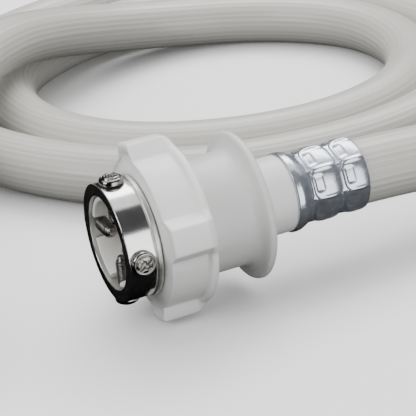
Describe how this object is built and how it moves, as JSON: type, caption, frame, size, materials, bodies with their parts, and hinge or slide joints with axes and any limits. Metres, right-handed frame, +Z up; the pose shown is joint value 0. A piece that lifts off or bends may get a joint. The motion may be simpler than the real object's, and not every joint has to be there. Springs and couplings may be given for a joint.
{
  "type": "appliance inlet hose with tap adapter",
  "caption": "Coiled water inlet hose: a screw-clamp tap adapter with a lobed nut and quick connector at one end, an elbow with a union nut at the other.",
  "frame": {"origin": "under the middle of the quick connector, on the surface that it lies on", "axes": "+X along the connector from the tap clamp to the hose, +Z up, the hose coil lies towards +Y"},
  "size_m": [0.3251, 0.2806, 0.0498],
  "materials": {
    "white_plastic": "moulded satin",
    "white_rubber": "matt soft",
    "black_rubber": "matt",
    "chrome_plate": "polished nickel plate",
    "plated_screw": "bright zinc plate",
    "brass": "machined",
    "steel": "bright drawn",
    "aluminium": "crimped bright",
    "hose": "ribbed satin PVC"
  },
  "bodies": {
    "socket": {"socket_body": "white_plastic", "ferrule": "aluminium", "hose_lead": "hose", "hose_coil": "hose", "hose_tail": "hose", "end_ferrule": "aluminium", "elbow": "white_plastic", "sleeve_spring": "steel"},
    "adapter": {"adapter_core": "white_plastic", "packing": "white_rubber", "nipple_o_ring": "black_rubber"},
    "nut": {"lock_nut": "white_plastic"},
    "ring": {"clamp_ring": "chrome_plate"},
    "sleeve": {"release_sleeve": "white_plastic", "lock_ring": "brass"},
    "union": {"union_nut": "white_plastic", "inlet_washer": "black_rubber"},
    "screw_1": {"clamp_screw_1": "plated_screw"},
    "ball_1": {"lock_ball_1": "steel"},
    "screw_2": {"clamp_screw_2": "plated_screw"},
    "ball_2": {"lock_ball_2": "steel"},
    "screw_3": {"clamp_screw_3": "plated_screw"},
    "ball_3": {"lock_ball_3": "steel"},
    "screw_4": {"clamp_screw_4": "plated_screw"},
    "ball_4": {"lock_ball_4": "steel"}
  },
  "joints": [
    {"name": "adapter_swivel", "type": "hinge", "parent": "socket", "child": "adapter", "pos_m": [-0.00765, 0, 0.025], "axis": [1, 0, 0], "continuous": true},
    {"name": "nut_turn", "type": "hinge", "parent": "adapter", "child": "nut", "pos_m": [-0.02165, 0, 0.025], "axis": [-1, 0, 0], "range_deg": [0, 720]},
    {"name": "ring_travel", "type": "slide", "parent": "adapter", "child": "ring", "axis": [-1, 0, 0], "range_m": [0, 0.004]},
    {"name": "sleeve_slide", "type": "slide", "parent": "socket", "child": "sleeve", "axis": [1, 0, 0], "range_m": [0, 0.0035], "stiffness_N_per_m": 800, "springref_m": -0.004, "deforming": ["sleeve_spring"]},
    {"name": "union_spin", "type": "hinge", "parent": "socket", "child": "union", "pos_m": [-0.12, -0.008, 0.016], "axis": [-1, 0, 0], "continuous": true},
    {"name": "screw_1_travel", "type": "slide", "parent": "ring", "child": "screw_1", "axis": [0, 0.0175, 0.9998], "range_m": [0, 0.008]},
    {"name": "screw_2_travel", "type": "slide", "parent": "ring", "child": "screw_2", "axis": [0, -0.9998, 0.0175], "range_m": [0, 0.008]},
    {"name": "screw_3_travel", "type": "slide", "parent": "ring", "child": "screw_3", "axis": [0, -0.0175, -0.9998], "range_m": [0, 0.008]},
    {"name": "screw_4_travel", "type": "slide", "parent": "ring", "child": "screw_4", "axis": [0, 0.9998, -0.0175], "range_m": [0, 0.008]},
    {"name": "ball_1_release", "type": "slide", "parent": "socket", "child": "ball_1", "axis": [0, 0.7071, 0.7071], "range_m": [0, 0.0009]},
    {"name": "ball_2_release", "type": "slide", "parent": "socket", "child": "ball_2", "axis": [0, -0.7071, 0.7071], "range_m": [0, 0.0009]},
    {"name": "ball_3_release", "type": "slide", "parent": "socket", "child": "ball_3", "axis": [0, -0.7071, -0.7071], "range_m": [0, 0.0009]},
    {"name": "ball_4_release", "type": "slide", "parent": "socket", "child": "ball_4", "axis": [0, 0.7071, -0.7071], "range_m": [0, 0.0009]}
  ],
  "couplings": [
    {"joint": "ring_travel", "follows": "nut_turn", "m_per_rad": 0.00031831},
    {"joint": "ball_1_release", "follows": "sleeve_slide", "ratio": 0.25714},
    {"joint": "ball_2_release", "follows": "sleeve_slide", "ratio": 0.25714},
    {"joint": "ball_3_release", "follows": "sleeve_slide", "ratio": 0.25714},
    {"joint": "ball_4_release", "follows": "sleeve_slide", "ratio": 0.25714}
  ]
}
